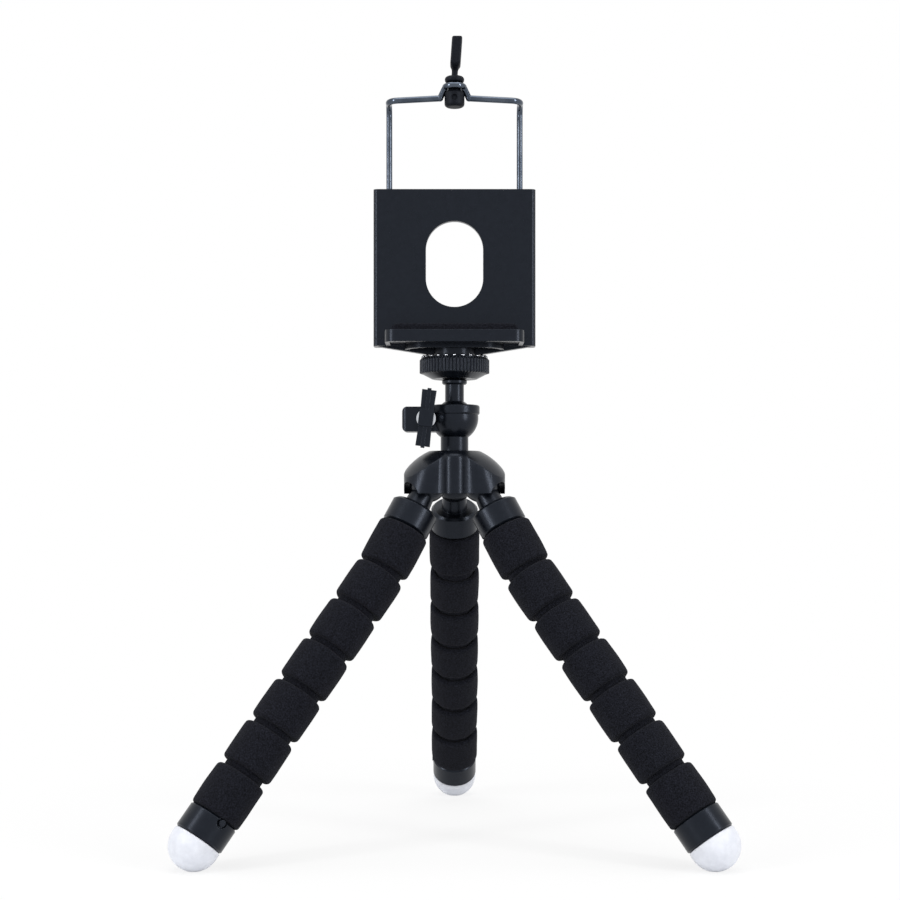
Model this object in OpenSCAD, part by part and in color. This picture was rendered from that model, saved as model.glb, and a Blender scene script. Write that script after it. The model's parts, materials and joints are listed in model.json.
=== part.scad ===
// Flexible three-legged stand with a ball head and a sprung clip.
// Millimetres, +Z up. The origin lies on the floor, under the hub's axis, and -Y is the front.
// Each leg is a chain of foam lobes on a bendable core. The chain is cut at the grooves, where it bends.

/* [Legs] */
// Tilt of a leg's upper end from the vertical, in degrees
leg_tilt = 31.5; // [24:0.5:40]
// Outward bend of a leg at its first groove, in degrees
leg_bend = 6.5; // [0:0.5:12]
// Outer diameter of the foam lobes
foam_d = 16; // [15.6:0.1:16.2]
// Distance from one groove to the next
lobe_pitch = 14.85; // [12:0.05:20]
// Width of a groove between two lobes
groove_w = 2; // [1.8:0.1:3]
// Depth of a groove
groove_depth = 1.7; // [1.4:0.1:2.2]
// Rounding of a lobe's edges
lobe_edge_r = 1.1; // [0.8:0.1:1.3]
// Diameter of the bendable core
core_d = 3; // [2:0.1:3.6]
// Diameter of the collar at a leg's top
collar_d = 15; // [13:0.1:15.6]
// Length of the collar at a leg's top
collar_l = 8; // [5:0.1:12]
// Diameter of the collar above a foot
foot_collar_d = 15.4; // [14:0.1:16]
// Length of the collar above a foot
foot_collar_l = 8.2; // [6:0.1:12]
// Diameter of a soft foot
foot_d = 15.2; // [13:0.1:16]
// Length of a soft foot
foot_l = 9.4; // [8.5:0.1:14]
// Depth of the flat that a foot stands on
foot_flat = 0.3; // [0.2:0.05:0.6]
// Diameter of the locating pin in a foot collar
foot_pin_d = 2; // [1.2:0.1:2.6]

/* [Leg joints] */
// Distance of the legs' balls from the hub's axis
leg_circle_r = 9.4; // [9.3:0.1:10.5]
// Diameter of the ball at a leg's top
leg_ball_d = 11.2; // [10.4:0.1:11.6]
// Distance from a ball's centre to its collar
stem_l = 8.4; // [8.3:0.1:10]
// Diameter of a stem where it leaves its ball
stem_ball_d = 6.6; // [5:0.1:6.8]
// Diameter of a stem where it meets its collar
stem_collar_d = 8.4; // [7:0.1:8.6]

/* [Hub] */
// Radius of one of the hub's three lobes
hub_lobe_r = 7.6; // [7.4:0.05:7.8]
// Radius of the hollows between the hub's lobes
hub_valley_r = 4; // [3:0.1:6]
// Height of the hub
hub_h = 13.4; // [12:0.1:18]
// Height of the balls' centres above the hub's lower face
hub_drop = 2.9; // [2.6:0.1:3.1]
// Rounding of the hub's upper edge
hub_edge_r = 3; // [1:0.1:4]
// Height of an arch's crown above a ball's centre
arch_rise = 0.7; // [0.6:0.05:1.2]

/* [Ball head] */
// Diameter of the neck
neck_d = 8.7; // [7.6:0.1:10]
// Height of the neck
neck_h = 4.4; // [3:0.1:8]
// Outer radius of the socket
cup_r = 7.5; // [7.4:0.1:8.4]
// How far the socket's rim stands out from its ball shape
rim_out = 0.4; // [0.2:0.05:0.8]
// Height of the rim above the ball's centre
rim_up = 3.9; // [3.7:0.1:4.4]
// Diameter of the head's ball
head_ball_d = 11.8; // [11:0.1:12]
// Thickness of the liner under the ball
liner_t = 0.6; // [0.4:0.05:0.7]
// Diameter of the ball's stem
head_stem_d = 5.9; // [5:0.1:6]
// Height of the stem's flange above the ball's centre
flange_up = 10.4; // [9:0.1:14]
// Diameter of the flange
flange_d = 7.8; // [7:0.1:9]
// Thickness of the flange
flange_t = 1.6; // [1:0.1:3]
// Diameter of the camera screw
screw_d = 6.35; // [6.35:0.01:6.35]
// Length of the camera screw above the flange
screw_l = 11.8; // [10.5:0.1:12.2]

/* [Clamp of the ball head] */
// Reach of the clamp's ears from the socket's axis
ear_reach = 16.4; // [14:0.1:20]
// Height of the ears
ear_h = 7.8; // [7:0.1:9]
// Width of the two ears together
ear_w = 8; // [6:0.1:10]
// Width of the slit between the ears
slit_w = 0.8; // [0.5:0.1:1.4]
// Distance of the clamp screw from the socket's axis
clamp_x = 8.8; // [8.8:0.1:10]
// Height of the clamp screw below the ball's centre
clamp_drop = 0.6; // [0:0.1:1.2]
// Diameter of the clamp screw
clamp_d = 3; // [2.4:0.1:3]
// Diameter of the clamp screw's bush
bush_d = 6; // [5:0.1:7]
// Length of the wing
wing_l = 17.5; // [14:0.1:18]
// Width of the wing
wing_w = 4.5; // [4:0.1:5.5]
// Thickness of the wing
wing_t = 3; // [2:0.1:4]
// Lean of the wing in the rest position, in degrees
wing_lean = 7; // [0:1:30]

/* [Lock ring] */
// Diameter of the lock ring
ring_d = 21.2; // [19:0.1:26]
// Height of the lock ring's grip
ring_h = 5; // [3:0.1:8]
// Height of the cone under the grip
ring_cone_h = 1.8; // [1:0.1:4]
// Diameter of the lock ring at its lower face
ring_foot_d = 14.6; // [11:0.1:18]
// Diameter of a grip ridge
ridge_d = 1.5; // [1:0.1:1.8]

/* [Lower jaw of the clip] */
// Width of the lower jaw
base_w = 42.8; // [41:0.2:46]
// Reach of the lower jaw in front of the screw's axis
base_front = 15; // [14:0.1:18]
// Reach of the lower jaw behind the screw's axis
base_back = 9; // [8.6:0.1:12]
// Radius of the lower jaw's corners
base_corner_r = 3.5; // [3:0.1:6]
// Width over the lower jaw's shoulders, under the guide rails
shoulder_w = 51; // [48:0.1:54]
// Thickness of the jaw's plate
plate_t = 1.6; // [1.2:0.1:2]
// Height of the jaw's outer rim
rim_h = 3.4; // [3:0.1:4]
// Thickness of the jaw's walls
wall_t = 1.4; // [1:0.1:1.6]
// Height of the boss under the plate
boss_h = 4.2; // [4:0.1:5]
// Diameter of the boss
boss_d = 13; // [12:0.1:14]
// Width of the oval ring under the plate
inner_ring_w = 31; // [28:0.5:34]
// Depth of the oval ring under the plate
inner_ring_d = 15.6; // [15:0.1:16]
// Thickness of the foam pad
pad_t = 1.2; // [0.8:0.1:1.6]
// Height of the foam lip above the pad
pad_lip_h = 2.3; // [1.5:0.1:5]
// Diameter of the threaded insert
insert_d = 9; // [8.6:0.1:10]

/* [Upper jaw of the clip] */
// Space between the jaws in the rest position
jaw_gap = 69.7; // [66:0.1:76]
// Diameter of the wire frame
wire_d = 1.9; // [1.6:0.1:2]
// Distance of the wire's legs behind the screw's axis
frame_y = 3; // [2.8:0.1:3.6]
// How far the wire's bar stands in front of its legs
wire_reach = 10.8; // [9:0.1:12]
// Radius of the wire's bends, measured at its middle
wire_bend_r = 3.6; // [2.6:0.1:4]
// Sweep of the wire's bar from its corners to the front, in degrees
bar_sweep = 12; // [0:0.5:12]
// Radius of the loop in the wire, measured at its middle
loop_r = 2.85; // [2.6:0.05:3.2]
// Width of a guide rail
rail_w = 9.8; // [8:0.1:11]
// Depth of a guide rail
rail_deep = 7.2; // [6.8:0.1:8]
// Height of the guide rails above the plate
rail_h = 47; // [45:0.5:50]
// Length of wire inside a rail in the rest position
wire_in = 26; // [25:0.5:27]
// Diameter of the upper jaw's grommet
grommet_d = 6.2; // [5:0.1:6.6]
// Height of the grommet below the wire's loop
grommet_low_h = 5; // [4.4:0.1:6]
// Height of the grommet's head above the loop
grommet_head_h = 2; // [1.4:0.1:3]
// Width of the pull tab
tab_w = 3.2; // [2.6:0.1:5]
// Height of the pull tab
tab_h = 10.4; // [8:0.1:14]
// Depth of the pull tab
tab_deep = 7; // [4:0.1:9]
// Lean of the pull tab, in degrees
tab_lean = -4; // [-6:0.5:6]
// Height of the pull tab's neck
tab_neck_h = 1.6; // [1:0.1:2.4]

/* [Clearances] */
// Gap between a ball and its socket
ball_gap = 0.06; // [0.05:0.01:0.1]
// Gap around a pin, screw or core in its hole
pin_gap = 0.06; // [0.05:0.01:0.08]
// Gap between a foam lobe's neck and the next lobe
neck_gap = 0.3; // [0.25:0.05:0.4]
// Gap between faces that turn on each other
face_gap = 0.1; // [0.05:0.01:0.2]
// Gap between the two ends of the core in a groove
core_gap = 0.4; // [0.3:0.05:0.6]

/* [Hidden] */
$fn = 64;
eps = 0.01;

// Each leg has a name and a direction, counted from +X
LEGS = [["left", 210], ["right", 330], ["rear", 90]];
LOBES = 7;
RIDGES = 36;
SPRING_TURNS = 11;

function foam_names(leg) = [for (k = [1 : LOBES]) str(leg[0], "_foam_", k)];
function core_names(leg) = [for (k = [2 : LOBES - 1]) str(leg[0], "_core_", k)];
function end_names(leg) = [for (piece = ["leg_cap", "foot_collar", "foot"]) str(leg[0], "_", piece)];
HEAD_NODES = [
    "hub", "ball_socket", "ball_liner", "head_ball", "lock_ring", "clamp_screw", "clamp_wing",
    "clip_base", "jaw_pad", "thread_insert", "back_frame", "jaw_springs",
    "wire_frame", "top_grommet", "pull_tab"
];
LEG_NODES = [for (leg = LEGS) each concat(end_names(leg), foam_names(leg), core_names(leg))];

// Stations along a leg, measured from its ball's centre
function groove_s(k) = stem_l + collar_l + k * lobe_pitch;
foam_end_s = groove_s(LOBES);
foot_s = foam_end_s + foot_collar_l;
dome_r = foot_d / 2;
dome_s = foot_s + foot_l - dome_r;

// Radii of the leg's pieces
foam_r = foam_d / 2;
core_r = core_d / 2;
bead_r = foam_r - groove_depth;
leg_ball_r = leg_ball_d / 2;

// The neck of foam that closes a groove reaches past the groove's middle and turns in the next lobe
bead_reach = 2.4;
bead_swing = 16;
bead_end_r = sqrt(bead_r * bead_r - bead_reach * bead_reach);
bead_hole_r = core_r / cos(bead_swing) + neck_gap;
bead_hole_end_r = bead_hole_r + bead_reach * tan(bead_swing);
bead_sweep = bead_reach * cos(bead_swing) + bead_end_r * sin(bead_swing) + neck_gap;

// Heights of the hub and the ball head
leg_ball_z = dome_r - foot_flat + cos(leg_tilt) * groove_s(1)
    + cos(leg_tilt + leg_bend) * (dome_s - groove_s(1));
hub_z = leg_ball_z - hub_drop;
neck_z = hub_z + hub_h;
head_r = head_ball_d / 2;
liner_r = head_r + ball_gap;
cavity_r = liner_r + liner_t + ball_gap;
lip_r = head_r + 2 * ball_gap;
lip_up = rim_up - 0.8;
head_z = neck_z + neck_h + sqrt(cup_r * cup_r - neck_d * neck_d / 4);
spigot_d = 6;
spigot_l = 4.5;
clamp_z = head_z - clamp_drop;
screw_r = screw_d / 2;

// Heights of the lock ring and the clip
flange_z = head_z + flange_up;
ring_z = flange_z + flange_t + face_gap;
grip_z = ring_z + ring_cone_h;
boss_z = grip_z + ring_h + face_gap;
plate_z = boss_z + boss_h;
pad_z = plate_z + plate_t;
seat_z = pad_z + pad_t;
rim_z = seat_z - rim_h;
lip_z = seat_z + 0.3;
jaw_z = seat_z + jaw_gap;

// The upper jaw's wire and grommet
wire_x = (shoulder_w - rail_w) / 2;
wire_r = wire_d / 2;
bar_z = jaw_z + 2.8;
bar_y = frame_y - wire_reach;
bar_in = grommet_d / 2 + wire_r + 0.4;
waist_z = jaw_z + grommet_low_h;
waist_h = wire_d + 2 * neck_gap;
loop_z = waist_z + waist_h / 2;
head_z0 = waist_z + waist_h;
tab_z = head_z0 + grommet_head_h;
rail_top = pad_z + rail_h;
rail_bore_d = 5.2;
rail_cap_t = 3;
wire_foot_z = rail_top - wire_in;
hook_d = 3.6;
hook_t = 1.2;

// The springs in the guide rails
spring_wire_d = 0.6;
spring_r = 1.85;
spring_seat_z = pad_z + 1.5;
spring_top_z = wire_foot_z - spring_wire_d / 2 - 0.1;

// Colours of the finishes
black = [0.06, 0.065, 0.075];
charcoal = [0.16, 0.16, 0.17];
chrome = [0.78, 0.79, 0.81];
milky = [0.92, 0.93, 0.96];
brass = [0.8, 0.66, 0.36];

// Puts a piece on a leg: +Z of the piece runs from the ball down the leg
module on_leg(leg, lobe) {
    translate([0, 0, leg_ball_z]) rotate([0, 0, leg[1]]) translate([leg_circle_r, 0, 0])
        rotate([0, 180 - leg_tilt, 0])
            translate([0, 0, lobe > 1 ? groove_s(1) : 0])
                rotate([0, lobe > 1 ? -leg_bend : 0, 0])
                    translate([0, 0, lobe > 1 ? -groove_s(1) : 0])
                        children();
}

// Half outline of a turned bar with rounded edges, from height 0 to l
module rounded_half(r, l, edge) {
    square([r - edge, l]);
    translate([0, edge]) square([r, l - 2 * edge]);
    for (y = [edge, l - edge])
        translate([r - edge, y]) circle(edge);
}

// Half outline of a turned bar with chamfered edges, from height 0 to l
module chamfered_half(r, l, c) {
    polygon([[0, 0], [r - c, 0], [r, c], [r, l - c], [r - c, l], [0, l]]);
}

// Round-ended bar from s0 to s1 along the leg
module core_bar(s0, s1) {
    translate([0, 0, s0 + core_r]) sphere(core_r);
    translate([0, 0, s0 + core_r]) cylinder(r = core_r, h = s1 - s0 - 2 * core_r);
    translate([0, 0, s1 - core_r]) sphere(core_r);
}

module foam_half(first, last) {
    top = first ? 0 : groove_w / 2;
    end = lobe_pitch - (last ? 0 : groove_w / 2);
    difference() {
        union() {
            translate([0, top]) rounded_half(foam_r, end - top, lobe_edge_r);
            if (!last)
                intersection() {
                    translate([0, lobe_pitch]) circle(bead_r);
                    translate([0, lobe_pitch - groove_w]) square([foam_r, groove_w + bead_reach]);
                }
        }
        translate([-foam_d, -eps]) square([foam_d + core_r + pin_gap, 2 * lobe_pitch]);
        if (!last)
            polygon([
                [0, lobe_pitch - core_gap],
                [bead_hole_r, lobe_pitch - core_gap],
                [bead_hole_r, lobe_pitch],
                [bead_hole_end_r, lobe_pitch + bead_reach + eps],
                [0, lobe_pitch + bead_reach + eps]
            ]);
        if (!first)
            intersection() {
                circle(bead_r + neck_gap);
                square([foam_r, bead_sweep]);
            }
    }
}

module foam_lobe(leg, k) {
    color(charcoal) on_leg(leg, k) translate([0, 0, groove_s(k - 1)])
        rotate_extrude() foam_half(k == 1, k == LOBES);
}

module core_piece(leg, k) {
    color(chrome) on_leg(leg, k)
        core_bar(groove_s(k - 1) + core_gap / 2, groove_s(k) - core_gap / 2);
}

module leg_cap(leg) {
    blend_h = 0.8;
    color(black) on_leg(leg, 1) {
        sphere(leg_ball_r);
        cylinder(d1 = stem_ball_d, d2 = stem_collar_d, h = stem_l + eps);
        translate([0, 0, stem_l]) rotate_extrude() chamfered_half(collar_d / 2, collar_l, blend_h);
        core_bar(stem_l, groove_s(1) - core_gap / 2);
    }
}

module foot_collar(leg) {
    edge = 0.6;
    notch_d = foot_pin_d + 1.2;
    pin_out = 0.3;
    pin_s = foam_end_s + foot_pin_d / 2 + face_gap;
    color(black) on_leg(leg, LOBES) {
        difference() {
            translate([0, 0, foam_end_s])
                rotate_extrude() chamfered_half(foot_collar_d / 2, foot_collar_l, edge);
            translate([0, foot_collar_d / 2 - 1, pin_s])
                rotate([-90, 0, 0]) cylinder(d = notch_d, h = 2);
        }
        translate([0, 0, pin_s]) rotate([-90, 0, 0])
            cylinder(d = foot_pin_d, h = foot_collar_d / 2 + pin_out);
        core_bar(groove_s(LOBES - 1) + core_gap / 2, foot_s - edge);
    }
}

// Turned half outline of a foot: a short straight part and a dome
module foot_half() {
    square([dome_r, foot_l - dome_r]);
    intersection() {
        translate([0, foot_l - dome_r]) circle(dome_r);
        translate([0, foot_l - dome_r - eps]) square([dome_r, dome_r + eps]);
    }
}

module foot(leg) {
    below = 2 * dome_s;
    color(milky) difference() {
        on_leg(leg, LOBES) translate([0, 0, foot_s]) rotate([0, 0, 130]) rotate_extrude() foot_half();
        translate([-below, -below, -2 * below]) cube(2 * below);
    }
}

// The hub's lobes and hollows, on the floor of the hub
function lobe_point(a) = leg_circle_r * [cos(a), sin(a)];
valley_dist = leg_circle_r / 2
    + sqrt(pow(hub_lobe_r + hub_valley_r, 2) - 3 * leg_circle_r * leg_circle_r / 4);
function valley_point(a) = valley_dist * [cos(a), sin(a)];

module hub_lobe() {
    square([hub_lobe_r - hub_edge_r, hub_h]);
    square([hub_lobe_r, hub_h - hub_edge_r]);
    translate([hub_lobe_r - hub_edge_r, hub_h - hub_edge_r]) circle(hub_edge_r);
}

module hub_valley() {
    difference() {
        translate([0, -1]) square([hub_valley_r + hub_edge_r, hub_h + 2]);
        translate([hub_valley_r, -2]) square([2 * hub_edge_r, hub_h - hub_edge_r + 2]);
        translate([hub_valley_r + hub_edge_r, hub_h - hub_edge_r]) circle(hub_edge_r);
    }
}

module hub_form() {
    difference() {
        linear_extrude(hub_h) polygon([
            for (leg = LEGS) each [lobe_point(leg[1]), valley_point(leg[1] + 60)]
        ]);
        for (leg = LEGS)
            translate(valley_point(leg[1] + 60)) rotate_extrude() hub_valley();
    }
    for (leg = LEGS)
        translate(lobe_point(leg[1])) rotate_extrude() hub_lobe();
}

module hub() {
    arch_r = stem_collar_d / 2 + neck_gap;
    recess_d = 5;
    recess_h = 3;
    color(black) translate([0, 0, hub_z]) difference() {
        hub_form();
        for (leg = LEGS) rotate([0, 0, leg[1]]) translate([leg_circle_r, 0, hub_drop]) {
            sphere(leg_ball_r + ball_gap);
            translate([0, 0, arch_rise - arch_r]) rotate([0, 90, 0])
                cylinder(r = arch_r, h = 2 * hub_lobe_r);
        }
        translate([0, 0, hub_h - spigot_l - face_gap])
            cylinder(d = spigot_d + 2 * pin_gap, h = spigot_l + 1);
        translate([0, 0, -1]) cylinder(d = recess_d, h = recess_h + 1);
    }
}

// Turned half outline of the socket about its own axis, from the ball's centre
module cup_half() {
    rim_band = 3;
    edge = 0.6;
    difference() {
        union() {
            intersection() {
                circle(cup_r);
                translate([0, -cup_r]) square([cup_r, cup_r + lip_up]);
            }
            translate([0, neck_z - head_z]) square([neck_d / 2, neck_h + cup_r - cavity_r]);
            translate([0, neck_z - head_z - spigot_l]) square([spigot_d / 2, spigot_l + 1]);
            translate([0, rim_up - rim_band]) rounded_half(cup_r + rim_out, rim_band, edge);
        }
        intersection() {
            circle(cavity_r);
            translate([-cup_r, -cup_r]) square([2 * cup_r, cup_r]);
        }
        intersection() {
            circle(lip_r);
            translate([-cup_r, -eps]) square([2 * cup_r, lip_up + eps]);
        }
        mouth_r = sqrt(lip_r * lip_r - lip_up * lip_up);
        polygon([
            [0, lip_up - eps], [mouth_r, lip_up - eps],
            [mouth_r + 1, rim_up + eps], [0, rim_up + eps]
        ]);
        translate([-cup_r, -2 * cup_r]) square([cup_r, 4 * cup_r]);
    }
}

module ears() {
    end_r = 1.6;
    intersection() {
        rotate([90, 0, 0]) linear_extrude(ear_w, center = true) union() {
            translate([-ear_reach, end_r - ear_h / 2]) square([ear_reach, ear_h - 2 * end_r]);
            translate([end_r - ear_reach, -ear_h / 2]) square([ear_reach - end_r, ear_h]);
            for (z = [-1, 1])
                translate([end_r - ear_reach, z * (ear_h / 2 - end_r)]) circle(end_r);
        }
        linear_extrude(ear_h + 2, center = true) union() {
            translate([-ear_reach, end_r - ear_w / 2]) square([ear_reach, ear_w - 2 * end_r]);
            translate([end_r - ear_reach, -ear_w / 2]) square([ear_reach - end_r, ear_w]);
            for (y = [-1, 1])
                translate([end_r - ear_reach, y * (ear_w / 2 - end_r)]) circle(end_r);
        }
    }
}

module ball_socket() {
    color(black) difference() {
        union() {
            translate([0, 0, head_z]) rotate_extrude() cup_half();
            difference() {
                translate([0, 0, clamp_z]) ears();
                translate([0, 0, head_z]) sphere(cup_r - eps);
            }
        }
        translate([-ear_reach - 1, -slit_w / 2, clamp_z - ear_h])
            cube([ear_reach + 1 - head_r + 1, slit_w, 2 * ear_h]);
        translate([-clamp_x, 0, clamp_z]) rotate([90, 0, 0])
            cylinder(d = clamp_d + 2 * pin_gap, h = 2 * ear_w, center = true);
    }
}

module ball_liner() {
    color(milky) translate([0, 0, head_z]) difference() {
        sphere(liner_r + liner_t);
        sphere(liner_r);
        translate([0, 0, cup_r - face_gap]) cube(2 * cup_r, center = true);
    }
}

module head_ball() {
    edge = 0.4;
    color(black) translate([0, 0, head_z]) {
        sphere(head_r);
        cylinder(d = head_stem_d, h = flange_up + eps);
        translate([0, 0, flange_up]) rotate_extrude() chamfered_half(flange_d / 2, flange_t, edge);
        translate([0, 0, flange_up]) cylinder(r = screw_r, h = flange_t + screw_l);
    }
}

module lock_ring() {
    core = ring_d / 2 - ridge_d / 4;
    edge = 0.6;
    color(black) difference() {
        union() {
            translate([0, 0, ring_z]) cylinder(d1 = ring_foot_d, r2 = core, h = ring_cone_h);
            translate([0, 0, grip_z]) rotate_extrude()
                polygon([[0, 0], [core, 0], [core, ring_h - edge], [core - edge, ring_h], [0, ring_h]]);
            for (i = [0 : RIDGES - 1]) rotate([0, 0, i * 360 / RIDGES])
                translate([core, 0, grip_z]) cylinder(d = ridge_d, h = ring_h - edge, $fn = 16);
        }
        translate([0, 0, ring_z - 1]) cylinder(r = screw_r + pin_gap, h = ring_cone_h + ring_h + 2);
    }
}

// The clamp's screw and wing turn about an axis along Y, with the wing in front
wing_y = -(cup_r + rim_out + neck_gap);

module clamp_screw() {
    head_t = 1;
    collar_d = clamp_d + 1.4;
    ear_y = ear_w / 2 + face_gap;
    rim_r = cup_r + rim_out + neck_gap / 2;
    bush_y = sqrt(rim_r * rim_r - pow(clamp_x - bush_d / 2, 2));
    color(chrome) translate([-clamp_x, 0, clamp_z]) rotate([90, 0, 0]) {
        translate([0, 0, -ear_y - eps]) cylinder(d = clamp_d, h = ear_y - wing_y + eps);
        translate([0, 0, ear_y]) cylinder(d = collar_d, h = -wing_y - ear_y);
        translate([0, 0, bush_y]) cylinder(d = bush_d, h = -wing_y - bush_y);
        translate([0, 0, -ear_y - head_t]) cylinder(d = collar_d, h = head_t);
    }
}

module clamp_wing() {
    hub_l = 5.2;
    rib_w = 1.2;
    rib_h = 0.5;
    waist = 0.6;
    color(black) translate([-clamp_x, wing_y, clamp_z]) rotate([90, 0, 0]) rotate([0, 0, -wing_lean]) {
        linear_extrude(wing_t - 2 * rib_h) polygon([
            [-wing_w / 2, -wing_l / 2], [wing_w / 2, -wing_l / 2],
            [wing_w / 2 - waist / 2, 0], [wing_w / 2, wing_l / 2],
            [-wing_w / 2, wing_l / 2], [waist / 2 - wing_w / 2, 0]
        ]);
        translate([-wing_w / 2, -hub_l / 2, 0]) cube([wing_w, hub_l, wing_t]);
        translate([-rib_w / 2, -wing_l / 2 - rib_h, 0]) cube([rib_w, wing_l + 2 * rib_h, wing_t - rib_h]);
    }
}

// Outline with round ends, w wide and d deep
module oval(w, d) {
    square([w - d, d], center = true);
    for (x = [-1, 1])
        translate([x * (w - d) / 2, 0]) circle(d = d);
}

// Rectangle from [-w / 2, y0] to [w / 2, y1] with corners of radius r
module rounded_rect(w, y0, y1, r) {
    translate([-w / 2, y0 + r]) square([w, y1 - y0 - 2 * r]);
    translate([r - w / 2, y0]) square([w - 2 * r, y1 - y0]);
    for (x = [-1, 1], y = [y0 + r, y1 - r])
        translate([x * (w / 2 - r), y]) circle(r);
}

// The lower jaw's outline, drawn in by t on all sides
module jaw_outline(t) {
    rounded_rect(base_w - 2 * t, t - base_front, base_back - t, base_corner_r - t);
}

// A wall along the jaw's front, from inset t0 to inset t1, that leaves the seat behind it free
lip_back = base_front - wall_t - face_gap - pad_t;

module lip_wall(t0, t1, h) {
    linear_extrude(h) intersection() {
        difference() {
            jaw_outline(t0);
            jaw_outline(t1);
        }
        translate([-base_w / 2, -base_front]) square([base_w, base_front - lip_back]);
    }
}

module shoulders() {
    edge = 1.5;
    rounded_rect(shoulder_w, frame_y - rail_deep / 2, frame_y + rail_deep / 2, edge);
}

module side_web() {
    web_t = 3;
    translate([0, frame_y, 0]) rotate([90, 0, 0]) linear_extrude(web_t, center = true) polygon([
        [boss_d / 2 - 2, boss_z + 0.4], [shoulder_w / 2 - 0.6, rim_z + 0.1],
        [shoulder_w / 2 - 0.6, plate_z + eps], [boss_d / 2 - 2, plate_z + eps]
    ]);
}

module clip_base() {
    ring_drop = 1.2;
    rib_x = 6;
    color(black) difference() {
        union() {
            translate([0, 0, plate_z]) linear_extrude(plate_t) jaw_outline(0);
            translate([0, 0, rim_z]) linear_extrude(seat_z - rim_z) difference() {
                jaw_outline(0);
                jaw_outline(wall_t);
            }
            translate([0, 0, pad_z - eps]) lip_wall(0, wall_t, lip_z - pad_z);
            translate([0, 0, rim_z]) linear_extrude(pad_z - rim_z) shoulders();
            translate([0, 0, rim_z - ring_drop]) linear_extrude(plate_z - rim_z + ring_drop + eps)
                difference() {
                    oval(inner_ring_w, inner_ring_d);
                    oval(inner_ring_w - 2 * wall_t, inner_ring_d - 2 * wall_t);
                }
            translate([0, 0, boss_z]) cylinder(d = boss_d, h = boss_h + eps);
            side_web();
            mirror([1, 0, 0]) side_web();
            for (x = [-rib_x, rib_x])
                translate([x - wall_t / 2, wall_t / 2 - base_front, rim_z + 0.4])
                    cube([wall_t, base_front, plate_z - rim_z]);
        }
        translate([0, 0, boss_z - eps]) cylinder(d = insert_d + 2 * pin_gap, h = boss_h + eps);
        translate([0, 0, boss_z]) cylinder(r = screw_r + pin_gap, h = boss_h + plate_t - 0.4);
        translate([-shoulder_w, frame_y - rail_deep / 2, pad_z])
            cube([2 * shoulder_w, 2 * rail_deep, rail_h]);
    }
}

module thread_insert() {
    color(brass) difference() {
        translate([0, 0, boss_z + face_gap]) cylinder(d = insert_d, h = boss_h - face_gap);
        translate([0, 0, boss_z]) cylinder(r = screw_r + pin_gap, h = 2 * boss_h);
    }
}

// The foam pad lies on the plate in front of the back frame, and its lip lines the front wall
pad_side = wall_t + face_gap;
pad_back = frame_y - rail_deep / 2 - face_gap;

module jaw_pad() {
    color(charcoal) {
        translate([0, 0, pad_z]) linear_extrude(pad_t) intersection() {
            jaw_outline(pad_side);
            translate([-base_w / 2, -base_front]) square([base_w, base_front + pad_back]);
        }
        translate([0, 0, pad_z]) lip_wall(pad_side, pad_side + pad_t, pad_t + pad_lip_h);
    }
}

module back_frame() {
    panel_t = 2.2;
    window_w = 18;
    window_h = 27;
    edge = 1.5;
    color(black) difference() {
        union() {
            for (x = [-wire_x, wire_x])
                translate([x, frame_y, pad_z]) linear_extrude(rail_h)
                    rounded_rect(rail_w, -rail_deep / 2, rail_deep / 2, edge);
            translate([-wire_x, frame_y - rail_deep / 2, pad_z]) cube([2 * wire_x, panel_t, rail_h]);
        }
        for (x = [-wire_x, wire_x]) {
            translate([x, frame_y, spring_seat_z])
                cylinder(d = rail_bore_d, h = rail_top - rail_cap_t - spring_seat_z);
            translate([x, frame_y, spring_seat_z]) cylinder(r = wire_r + pin_gap, h = rail_h);
        }
        translate([0, frame_y, pad_z + rail_h / 2]) rotate([90, 0, 0])
            linear_extrude(2 * rail_deep, center = true) rotate(90) oval(window_h, window_w);
    }
}

// Closed tube of the spring's wire, swept along a rising circle
function coil_point(t, h) = let (a = 360 * SPRING_TURNS * t)
    [spring_r * cos(a), spring_r * sin(a), h * t];
function coil_ring(t, h, sides) = let (a = 360 * SPRING_TURNS * t, p = coil_point(t, h))
    [for (j = [0 : sides - 1]) let (b = 360 * j / sides)
        p + spring_wire_d / 2 * [cos(b) * cos(a), cos(b) * sin(a), sin(b)]];

module coil(h) {
    sides = 6;
    rings = 8 * SPRING_TURNS;
    points = [for (i = [0 : rings]) each coil_ring(i / rings, h, sides)];
    walls = [for (i = [0 : rings - 1], j = [0 : sides - 1]) each
        let (a = i * sides + j, b = i * sides + (j + 1) % sides)
        [[a, a + sides, b], [b, a + sides, b + sides]]];
    start = [for (j = [1 : sides - 2]) [0, j, j + 1]];
    last = rings * sides;
    finish = [for (j = [1 : sides - 2]) [last, last + j + 1, last + j]];
    polyhedron(points, concat(walls, start, finish));
}

// Least gap between two turns of a spring, measured from turn to turn
spring_h = spring_top_z - spring_seat_z;
spring_gap = min([for (i = [0 : 8 * SPRING_TURNS - 8])
    norm(coil_point((i + 8) / (8 * SPRING_TURNS), spring_h) - coil_point(i / (8 * SPRING_TURNS), spring_h))])
    - spring_wire_d;
echo(str("Least gap between the springs' turns: ", spring_gap, " mm"));

module jaw_springs() {
    lift = spring_wire_d / 2 + 0.05;
    color(chrome) for (x = [-wire_x, wire_x])
        translate([x, frame_y, spring_seat_z + lift]) coil(spring_top_z - spring_seat_z - lift);
}

// Round bar of radius r from point a to point b
module wire_bar(a, b, r) {
    d = b - a;
    translate(a) rotate([0, atan2(norm([d.x, d.y]), d.z), atan2(d.y, d.x)])
        cylinder(r = r, h = norm(d));
}

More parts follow.
